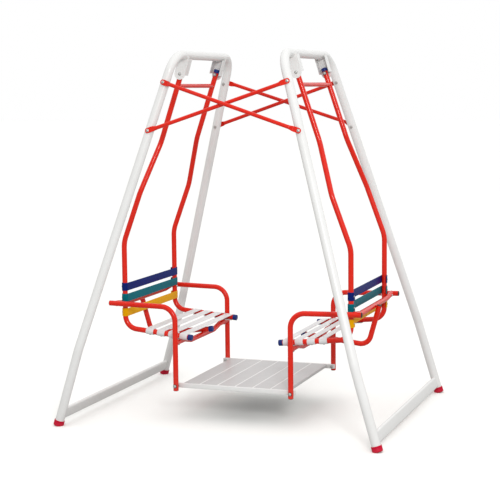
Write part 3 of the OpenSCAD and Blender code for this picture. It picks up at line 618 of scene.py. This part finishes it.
def pressed_brace(length, way):
    stations = brace_stations(length, way)
    bm = bmesh.new()
    bmesh.ops.create_circle(bm, segments=32, radius=1, matrix=Matrix.Rotation(math.pi / 2, 4, "Y"))
    ring = list(bm.edges)
    for _ in stations[1:]:
        ring = run(bm, ring, Vector((1, 0, 0)))
    for v in bm.verts:
        x, centre, half_width, half_thick = stations[round(v.co.x)]
        y = max(-half_thick, min(half_thick, v.co.y * half_width))
        v.co = (x, centre + y, v.co.z * half_width)
    bmesh.ops.holes_fill(bm, edges=[e for e in bm.edges if e.is_boundary])
    return bm


# %% Braces in place
BRACE_SEAT, SPACER = FRAME_TUBE / 2 + 0.0001, PLATE + 0.0005
splay_frame = Matrix.Translation((0, -TOP_Y, FRAME_H)) @ Matrix.Rotation(-splay, 4, "X")
FAR = {"near": Matrix(), "far": Matrix.Scale(-1, 4, (0, 1, 0))}
LEFT = {"right": Matrix(), "left": Matrix.Scale(-1, 4, (1, 0, 0))}
brace_length = math.hypot(top_x + low_x, top_z - low_z)
brace_angle = math.atan2(top_z - low_z, top_x + low_x)
BRACE_WAYS = (("falling", -1, (-top_x, -BRACE_SEAT - SPACER, top_z), 1),
              ("rising", 1, (-low_x, -BRACE_SEAT, low_z), -1))
for end, _ in ENDS:
    for kind, way, start, sign in BRACE_WAYS:
        brace = bmesh.new()
        flat = Matrix.Translation((0, -PLATE / 2, 0))
        place = (FAR[end] @ splay_frame @ Matrix.Translation(start)
                 @ Matrix.Rotation(sign * brace_angle, 4, "Y"))
        join(brace, pressed_brace(brace_length, way), place @ flat)
        piece(f"brace_bar_{end}_{kind}", brace, "frame", red_coat, "red_enamel", f"brace_{end}_{kind}")

# %% [markdown]
# ## Bolts
# Each bolt has a washer and a domed head on one side, and a nut with a short end of thread on the
# other. All of them are plated steel. A thread is drawn as a few turned grooves, because no more
# than its end is ever seen.

# %% Bolt parts
HEAD = [(0, 0), (0.0074, 0), (0.0075, 0.0003), (0.0075, 0.0011), (0.0072, 0.0014), (0.0061, 0.0014),
        (0.0061, 0.0022), (0.0056, 0.0034), (0.0045, 0.0045), (0.0030, 0.0052), (0.0014, 0.0055), (0, 0.0055)]
WASHER = [(0, 0), (0.0072, 0), (0.0075, 0.0003), (0.0075, 0.0010), (0.0072, 0.0013), (0, 0.0013)]


def thread(radius, length):
    turns = max(3, round(length / 0.00125))
    profile = [(0, 0)]
    for i in range(turns):
        profile += [(radius, length * (i + 0.25) / turns), (radius * 0.88, length * (i + 0.75) / turns)]
    return lathe(profile + [(radius * 0.8, length), (0, length)], 24)


def bolt(whole, place, low, high, head_scale=1.0, shank=0.004):
    """A bolt along local Z that grips from low to high, with its head above high."""
    join(whole, lathe(HEAD),
         place @ Matrix.Translation((0, 0, high)) @ Matrix.Scale(head_scale, 4, (0, 0, 1)))
    join(whole, lathe([(0, low - 0.004), (shank * 0.97, low - 0.004), (shank * 0.97, high + 0.001),
                       (0, high + 0.001)], 24), place)
    down = place @ Matrix.Translation((0, 0, low)) @ Matrix.Rotation(math.pi, 4, "X")
    join(whole, lathe(WASHER), down)
    join(whole, hex_nut(0.0142, 0.0042), down @ Matrix.Translation((0, 0, 0.0013)))
    join(whole, thread(shank * 0.97, 0.0020), down @ Matrix.Translation((0, 0, 0.0055)))


# %% Brace bolts
for end, _ in ENDS:
    bolts = bmesh.new()
    lay = Matrix.Rotation(math.pi / 2, 4, "X")
    plain, spaced = BRACE_SEAT + PLATE, BRACE_SEAT + PLATE + SPACER
    for x, z, stack in ((top_x, top_z, plain), (-low_x, low_z, plain),
                        (-top_x, top_z, spaced), (low_x, low_z, spaced)):
        here = FAR[end] @ splay_frame @ Matrix.Translation((x, 0, z)) @ lay
        bolt(bolts, here, -FRAME_TUBE / 2 - 0.0002, stack, 0.6)
        if stack == spaced:
            ring = lathe([(0.0041, 0), (0.0096, 0), (0.01, 0.0004), (0.01, SPACER - 0.0004), (0.0096, SPACER),
                          (0.0041, SPACER), (0.0041, 0)])
            join(bolts, ring, here @ Matrix.Translation((0, 0, BRACE_SEAT)))
    piece(f"brace_bolt_set_{end}", bolts, "frame", plated_steel, "steel", f"brace_bolts_{end}")

# %% Pivot bolts
LAY = Matrix.Rotation(math.pi / 2, 4, "X")
CAP_R = TUBE / 2 + 0.0001 + 0.002
WEB_Y = HANGER_Y + CAP_R + 0.001
for side, _ in SIDES:
    bolts = bmesh.new()
    for end, _ in ENDS:
        here = LEFT[side] @ FAR[end] @ Matrix.Translation((PIVOT.x, -HANGER_Y, PIVOT.z)) @ LAY
        bolt(bolts, here, -TUBE / 2 - 0.002 - 0.0005, WEB_Y + 0.002 - HANGER_Y)
    piece(f"pivot_bolt_set_{side}", bolts, "frame", plated_steel, "steel", f"pivot_bolts_{side}")

# %% [markdown]
# ## Hangers
# Each seat hangs on two long tubes that are all one piece with it: from the pivot they lean out and
# spread apart, stand up as the posts of the seat back, and turn forward under the seat as its
# rails. Four bends in two planes are no trouble for the bender.

# %% Hanger tubes
top_pivot = Vector((PIVOT.x, -HANGER_Y, PIVOT.z))
first_bend = Vector((0.393, -HANGER_Y, 1.310))
hanger_up = (top_pivot - first_bend).normalized()
hanger_path = [top_pivot + hanger_up * 0.024, first_bend, Vector((0.472, -POST_Y, 1.075)),
               Vector((POST_X, -POST_Y, 0.836)), Vector((POST_X, -POST_Y, rail_z(POST_X))),
               Vector((RAIL_END_X, -POST_Y, rail_z(RAIL_END_X)))]
for side, sx in SIDES:
    for end, sy in ENDS:
        bm = bent_tube([mirrored(p, sx, sy) for p in hanger_path],
                       [0, 0.15, 0.15, 0.15, 0.062, 0], TUBE, WALL)
        piece(f"hanger_tube_{side}_{end}", bm, f"seat_{side}", red_coat, "red_enamel", f"hanger_{side}_{end}")

# %% [markdown]
# ## Welds
# Where a tube ends on the side of another it is welded all round. A weld bead is a ring that
# follows the saddle where the two meet: a small circle spun into a ring, then lifted at each place
# by the height of the larger tube's side, with the little ripples that a welder leaves.

# %% Weld bead
def weld_bead(small, large, bead=0.0014):
    bm = bmesh.new()
    bmesh.ops.create_circle(bm, segments=8, radius=bead,
                            matrix=Matrix.Translation((small, 0, 0)) @ Matrix.Rotation(math.pi / 2, 4, "X"))
    bmesh.ops.spin(bm, geom=list(bm.verts) + list(bm.edges), cent=(0, 0, 0), axis=(0, 0, 1), dvec=(0, 0, 0),
                   angle=math.tau, steps=96, use_merge=True, use_duplicate=False)
    for v in bm.verts:
        around = math.atan2(v.co.y, v.co.x)
        ripple = 1 + 0.18 * math.sin(around * 22)
        out = math.hypot(v.co.x, v.co.y) - small
        reach = (small + out * ripple) / (small + out)
        v.co = (v.co.x * reach, v.co.y * reach,
                v.co.z * ripple + math.sqrt(max(large ** 2 - (small * math.sin(around)) ** 2, 0)))
    return bm


def weld_place(joint, away, large_axis):
    away = Vector(away).normalized()
    axis = (Vector(large_axis) - Vector(large_axis).dot(away) * away).normalized()
    return Matrix.Translation(joint) @ Matrix((axis, away.cross(axis), away)).transposed().to_4x4()


# %% Ties: hanger tie, arm tie and seat bar
ARM_TIE_X = POST_X + TUBE + 0.002
ARM_TIE_Z = arm_z(ARM_TIE_X)
ARM_TIE_SAG = 0.010
TIES = {
    "hanger_tie": ([top_pivot - hanger_up * (0.055 / hanger_up.z)], [0], 0.020, hanger_up),
    "arm_tie": ([Vector((ARM_TIE_X, -ARM_Y, ARM_TIE_Z)), Vector((ARM_TIE_X, -TIE_BEND_Y, ARM_TIE_Z)),
                 Vector((ARM_TIE_X, -TIE_MIDDLE_Y, ARM_TIE_Z - ARM_TIE_SAG))],
                [0, TIE_BEND_R, TIE_BEND_R], TUBE, Vector((1, 0, 0.021))),
    "seat_bar": ([Vector((PIVOT.x, -ARM_Y, SEAT_BAR_Z)), Vector((PIVOT.x, -0.230, SEAT_BAR_Z)),
                  Vector((PIVOT.x, -0.150, SEAT_BAR_Z - SEAT_BAR_SAG))],
                 [0, TIE_BEND_R, TIE_BEND_R], TUBE, Vector((0, 0, 1)))}
for side, sx in SIDES:
    for name, (half, radii, diameter, host) in TIES.items():
        start = half[0] + Vector((0, 0.006, 0))
        points = [start] + half[1:]
        points += [mirrored(p, 1, -1) for p in reversed(points)]
        tie = bmesh.new()
        join(tie, bent_tube([mirrored(p, sx) for p in points], radii + radii[::-1], diameter, WALL))
        for end, sy in ENDS:
            place = weld_place(half[0], (0, 1, 0), host)
            join(tie, weld_bead(diameter / 2, TUBE / 2), LEFT[side] @ FAR[end] @ place)
        piece(f"{name}_{side}_tube", tie, f"seat_{side}", red_coat, "red_enamel", f"{name}_{side}")

# %% [markdown]
# ## Arms and spine
# An arm is one tube, forward along the armrest and straight down to the deck. The spine is the
# short tube that comes down behind the back slats and forward under the seat.

# %% Arms
arm_path = [Vector((ARM_END_X, -ARM_Y, arm_z(ARM_END_X))), Vector((PIVOT.x, -ARM_Y, ARM_Z)),
            Vector((PIVOT.x, -ARM_Y, DECK_Z - LEG_FOOT))]
for side, sx in SIDES:
    for end, sy in ENDS:
        bm = bent_tube([mirrored(p, sx, sy) for p in arm_path], [0, ARM_BEND_R, 0], TUBE, WALL)
        piece(f"arm_tube_{side}_{end}", bm, f"seat_{side}", red_coat, "red_enamel", f"arm_{side}_{end}")

# %% Spine
reach = Vector((ARM_TIE_X - SPINE_X, ARM_TIE_Z - ARM_TIE_SAG - SPINE_Z))
spine_tilt = math.atan2(reach.x, reach.y) + math.asin(TUBE / reach.length)
spine_length = math.sqrt(reach.length ** 2 - TUBE ** 2) + SPINE_TOP
spine_low_z = SEAT_BAR_Z - SEAT_BAR_SAG + TUBE
spine_end_z = spine_low_z + (PIVOT.x - SPINE_END_X) * (spine_low_z - SPINE_Z) / (SPINE_X - PIVOT.x)
spine_corner = Vector((SPINE_X, 0, SPINE_Z))
spine_path = [spine_corner + spine_length * Vector((math.sin(spine_tilt), 0, math.cos(spine_tilt))),
              spine_corner, Vector((SPINE_END_X, 0, spine_end_z))]
for side, sx in SIDES:
    bm = bent_tube([mirrored(p, sx) for p in spine_path], [0, 0.05, 0], TUBE, WALL)
    piece(f"spine_tube_{side}", bm, f"seat_{side}", red_coat, "red_enamel", f"spine_{side}")

# %% [markdown]
# ## Slats
# Every slat is a moulded plastic strap that is flat between two tubes, goes round the outside of
# each and ends in a short tail that is riveted from behind. Its section is a flat bar with rounded
# edges, and it is drawn round the tubes with the same two moves as a tube.

# %% One strap
SLAT_T, SLAT_W, SLAT_TAIL, STRAP_IN = 0.0025, 0.038, 0.016, TUBE / 2 + 0.0001


def strap():
    middle = STRAP_IN + SLAT_T / 2
    bm = bmesh.new()
    bmesh.ops.create_grid(bm, x_segments=1, y_segments=1, size=0.5)
    bmesh.ops.scale(bm, vec=(SLAT_W, SLAT_T, 1), verts=bm.verts)
    bmesh.ops.bevel(bm, geom=list(bm.verts), affect="VERTICES", offset=0.0010, segments=4, profile=0.5,
                    material=-1)
    bmesh.ops.rotate(bm, verts=bm.verts, cent=(0, 0, 0), matrix=Matrix.Rotation(math.pi / 2, 3, "X"))
    bmesh.ops.translate(bm, verts=bm.verts, vec=(0, SLAT_TAIL - POST_Y, -middle))
    ring = list(bm.edges)
    ring = run(bm, ring, Vector((0, -SLAT_TAIL, 0)))
    ring = turn(bm, ring, Vector((0, -POST_Y, 0)), Vector((1, 0, 0)), -math.pi)
    ring = run(bm, ring, Vector((0, 2 * POST_Y, 0)))
    ring = turn(bm, ring, Vector((0, POST_Y, 0)), Vector((1, 0, 0)), -math.pi)
    ring = run(bm, ring, Vector((0, -SLAT_TAIL, 0)))
    bmesh.ops.holes_fill(bm, edges=ring)
    return bm


# %% Back slats
BACK_SLATS = (("low", 0.498, yellow_slat, "yellow_slat"), ("mid", 0.5685, teal_slat, "teal_slat"),
              ("top", 0.621, blue_slat, "blue_slat"))
upright = Matrix(((0, 0, -1), (0, 1, 0), (1, 0, 0))).to_4x4()
for side, _ in SIDES:
    for level_name, z, colour, slot in BACK_SLATS:
        slat = bmesh.new()
        join(slat, strap(), LEFT[side] @ Matrix.Translation((POST_X, 0, z)) @ upright)
        piece(f"back_strap_{side}_{level_name}", slat, f"seat_{side}", colour, slot,
              f"back_slat_{side}_{level_name}")

# %% Seat slats
def on_rails(i):
    x = 0.258 + 0.058 * i
    return Matrix.Translation((x, 0, rail_z(x))) @ Matrix.Rotation(-RAIL_SLOPE, 4, "Y")


for side, _ in SIDES:
    slats = bmesh.new()
    for i in range(4):
        join(slats, strap(), LEFT[side] @ on_rails(i))
    piece(f"seat_strap_set_{side}", slats, f"seat_{side}", white_slat, "white_slat", f"seat_slats_{side}")

# %% [markdown]
# ## Caps, plugs and bushes
# Blue caps close the open tube ends that a child could touch, darker plugs close the others, and a
# flanged bush lines each pivot hole.

# %% Caps
def cap_profile(length):
    r = CAP_R
    return [(0, 0), (r - 0.0025, 0), (r - 0.0012, 0.0004), (r - 0.0004, 0.0012), (r, 0.0025),
            (r, length - 0.0004), (r - 0.0004, length), (TUBE / 2 + 0.0001, length),
            (TUBE / 2 + 0.0001, 0.002),
            (0, 0.002)]


CAP_ENDS = ((hanger_path[0], -hanger_up, 0.016), (hanger_path[5], hanger_path[4] - hanger_path[5], 0.020))
for side, _ in SIDES:
    caps = bmesh.new()
    for end, _ in ENDS:
        for point, way, length in CAP_ENDS:
            join(caps, lathe(cap_profile(length)),
                 LEFT[side] @ FAR[end] @ aimed(point - way.normalized() * 0.002, way))
    way = (spine_path[1] - spine_path[2]).normalized()
    join(caps, lathe(cap_profile(0.020)), LEFT[side] @ aimed(spine_path[2] - way * 0.002, way))
    piece(f"tube_cap_set_{side}", caps, f"seat_{side}", blue_cap, "blue_cap", f"tube_caps_{side}")

# %% Plugs
def plug_profile(length):
    inner = TUBE / 2 - WALL - 0.0001
    return [(0, 0.0002), (0.008, 0.0003), (0.0107, 0.0009), (0.0121, 0.0020), (0.0125, 0.003), (inner, 0.003),
            (inner, 0.003 + length), (0, 0.003 + length)]


for side, _ in SIDES:
    plugs = bmesh.new()
    for end, _ in ENDS:
        here = LEFT[side] @ FAR[end]
        way = (arm_path[1] - arm_path[0]).normalized()
        join(plugs, lathe(plug_profile(0.014)), here @ aimed(arm_path[0] - way * 0.003, way))
        join(plugs, lathe(plug_profile(0.013)), here @ aimed(arm_path[2] - Vector((0, 0, 0.003)), (0, 0, 1)))
    way = (spine_path[1] - spine_path[0]).normalized()
    join(plugs, lathe(plug_profile(0.014)), LEFT[side] @ aimed(spine_path[0] - way * 0.003, way))
    piece(f"tube_plug_set_{side}", plugs, f"seat_{side}", black_plastic, "black_plastic",
          f"tube_plugs_{side}")

# %% Bushes
BUSH = [(0.00405, -0.0145), (0.0088, -0.0145), (0.009, -0.0143), (0.009, -0.0127), (0.0088, -0.0125),
        (0.006, -0.0125), (0.006, 0.0125), (0.0088, 0.0125), (0.009, 0.0127), (0.009, 0.0143),
        (0.0088, 0.0145),
        (0.00405, 0.0145), (0.00405, -0.0145)]
for side, _ in SIDES:
    bushes = bmesh.new()
    for end, _ in ENDS:
        for place in ((PIVOT.x, -HANGER_Y, PIVOT.z), (PIVOT.x, -ARM_Y, DECK_Z)):
            join(bushes, lathe(BUSH), LEFT[side] @ FAR[end] @ Matrix.Translation(place) @ LAY)
    piece(f"bush_set_{side}", bushes, f"seat_{side}", black_plastic, "black_plastic", f"bushes_{side}")

# %% [markdown]
# ## Rivets and seat bolts
# A domed rivet holds each slat's tail, and a small bolt with a spacer joins the seat's rails and
# posts to the bar and the tie that carry the arms.

# %% Fasteners
RIVET = [(0, 0), (0.0048, 0), (0.005, 0.0003), (0.0046, 0.0011), (0.0036, 0.0018), (0.0020, 0.0023),
         (0, 0.0025)]
SMALL_HEAD = [(0, 0), (0.0058, 0), (0.006, 0.0003), (0.0057, 0.0018), (0.0046, 0.0030),
              (0.0026, 0.0038), (0, 0.004)]
STRAP_OUT = STRAP_IN + SLAT_T


def seat_bolt(whole, place, gap, tilt=0.0):
    spread = 0.006 * math.tan(tilt)
    low, high = -TUBE - gap / 2, gap / 2 + TUBE / math.cos(tilt) + 2 * spread
    join(whole, lathe([(0, low), (0.0029, low), (0.0029, high), (0, high)], 20), place)
    join(whole, lathe(SMALL_HEAD), place @ Matrix.Translation((0, 0, high)))
    join(whole, lathe(SMALL_HEAD), place @ Matrix.Translation((0, 0, low)) @ Matrix.Rotation(math.pi, 4, "X"))
    join(whole, lathe([(0, -gap / 2), (0.006, -gap / 2), (0.006, gap / 2), (0, gap / 2)]), place)


bar_gap = (rail_z(PIVOT.x) - TUBE / 2 / math.cos(RAIL_SLOPE) - 0.006 * math.tan(RAIL_SLOPE)
           - (SEAT_BAR_Z + TUBE / 2))
rear_z = ARM_TIE_Z - ARM_TIE_SAG * (TIE_BEND_Y - POST_Y) / (TIE_BEND_Y - TIE_MIDDLE_Y)
OUT_BACK = Matrix.Rotation(math.pi / 2, 4, "Y")
for side, _ in SIDES:
    fasteners = bmesh.new()
    for end, _ in ENDS:
        here = LEFT[side] @ FAR[end]
        for _, z, _, _ in BACK_SLATS:
            join(fasteners, lathe(RIVET),
                 here @ Matrix.Translation((POST_X + STRAP_OUT, -POST_Y, z)) @ OUT_BACK)
        for i in range(4):
            under = (on_rails(i) @ Matrix.Translation((0, -POST_Y, -STRAP_OUT))
                     @ Matrix.Rotation(math.pi, 4, "X"))
            join(fasteners, lathe(RIVET), here @ under)
        rear = Matrix.Translation((POST_X + TUBE / 2 + 0.001, -POST_Y, rear_z)) @ OUT_BACK
        seat_bolt(fasteners, here @ rear, 0.002)
        front = Matrix.Translation((PIVOT.x, -POST_Y, SEAT_BAR_Z + TUBE / 2 + bar_gap / 2))
        seat_bolt(fasteners, here @ front, bar_gap, RAIL_SLOPE)
    piece(f"fastener_set_{side}", fasteners, f"seat_{side}", plated_steel, "steel", f"fasteners_{side}")

# %% [markdown]
# ## Foot deck
# Six folded sheet planks lie between two box rails, with white strips closing the gaps between
# them. A plank starts as three long strips joined at right angles; the two folds are bevelled, and
# the sheet is then given its thickness.

# %% Deck planks
RAIL_Y, RAIL_T, RAIL_H = 0.3105, 0.016, 0.021
DECK_TOP = DECK_Z + RAIL_H / 2
PLANK_W, PLANK_PITCH, PLANK_EDGE, PLANK_T = 0.080, 0.088, 0.014, 0.002


def folded_plank():
    half = PLANK_W / 2
    bm = bmesh.new()
    outline = [bm.verts.new((x, -RAIL_Y, z)) for x, z in
               ((-half, -PLANK_EDGE), (-half, 0), (half, 0), (half, -PLANK_EDGE))]
    edges = [bm.edges.new(pair) for pair in zip(outline, outline[1:])]
    run(bm, edges, Vector((0, 2 * RAIL_Y, 0)))
    folds = [e for e in bm.edges if len(e.link_faces) == 2]
    bmesh.ops.bevel(bm, geom=folds, affect="EDGES", offset=0.003, segments=6, profile=0.5, material=-1)
    bmesh.ops.recalc_face_normals(bm, faces=bm.faces)
    top = max(bm.faces, key=lambda f: f.calc_center_median().z)
    if top.normal.z < 0:
        bmesh.ops.reverse_faces(bm, faces=bm.faces)
    bmesh.ops.solidify(bm, geom=list(bm.faces), thickness=PLANK_T)
    return bm


planks = bmesh.new()
for i in range(6):
    join(planks, folded_plank(), Matrix.Translation(((i - 2.5) * PLANK_PITCH, 0, DECK_TOP)))
piece("deck_plank_set", planks, "deck", deck_coat, "deck_enamel", "deck_planks")

# %% Deck joiners
def rounded_bar(size, corner, segments=3):
    bm = bmesh.new()
    bmesh.ops.create_cube(bm, size=1)
    bmesh.ops.scale(bm, vec=size, verts=bm.verts)
    bmesh.ops.bevel(bm, geom=list(bm.edges), affect="EDGES", offset=corner, segments=segments, profile=0.5,
                    material=-1)
    return bm


joiners = bmesh.new()
for i in range(1, 6):
    strip = rounded_bar((0.0078, 2 * RAIL_Y - 0.0002, 0.003), 0.0008)
    join(joiners, strip, Matrix.Translation(((i - 3) * PLANK_PITCH, 0, DECK_TOP - 0.0005 - 0.0015)))
piece("deck_joiner_set", joiners, "deck", deck_white, "white_enamel", "deck_joiners")

# %% Deck rails and bolts
RAIL_LENGTH = 2 * (PIVOT.x + 0.014)
for end, sy in ENDS:
    rail = bmesh.new()
    join(rail, rounded_bar((RAIL_LENGTH, RAIL_T, RAIL_H), 0.002, 4),
         Matrix.Translation((0, -sy * (RAIL_Y + RAIL_T / 2), DECK_Z)))
    piece(f"deck_rail_{end}_box", rail, "deck", deck_white, "deck_enamel", f"deck_rail_{end}")
for side, _ in SIDES:
    bolts = bmesh.new()
    for end, _ in ENDS:
        here = LEFT[side] @ FAR[end] @ Matrix.Translation((PIVOT.x, -ARM_Y, DECK_Z)) @ LAY
        bolt(bolts, here, -(TUBE / 2 + 0.003 + RAIL_T), TUBE / 2 + 0.0025)
    piece(f"deck_bolt_set_{side}", bolts, "deck", plated_steel, "steel", f"deck_bolts_{side}")
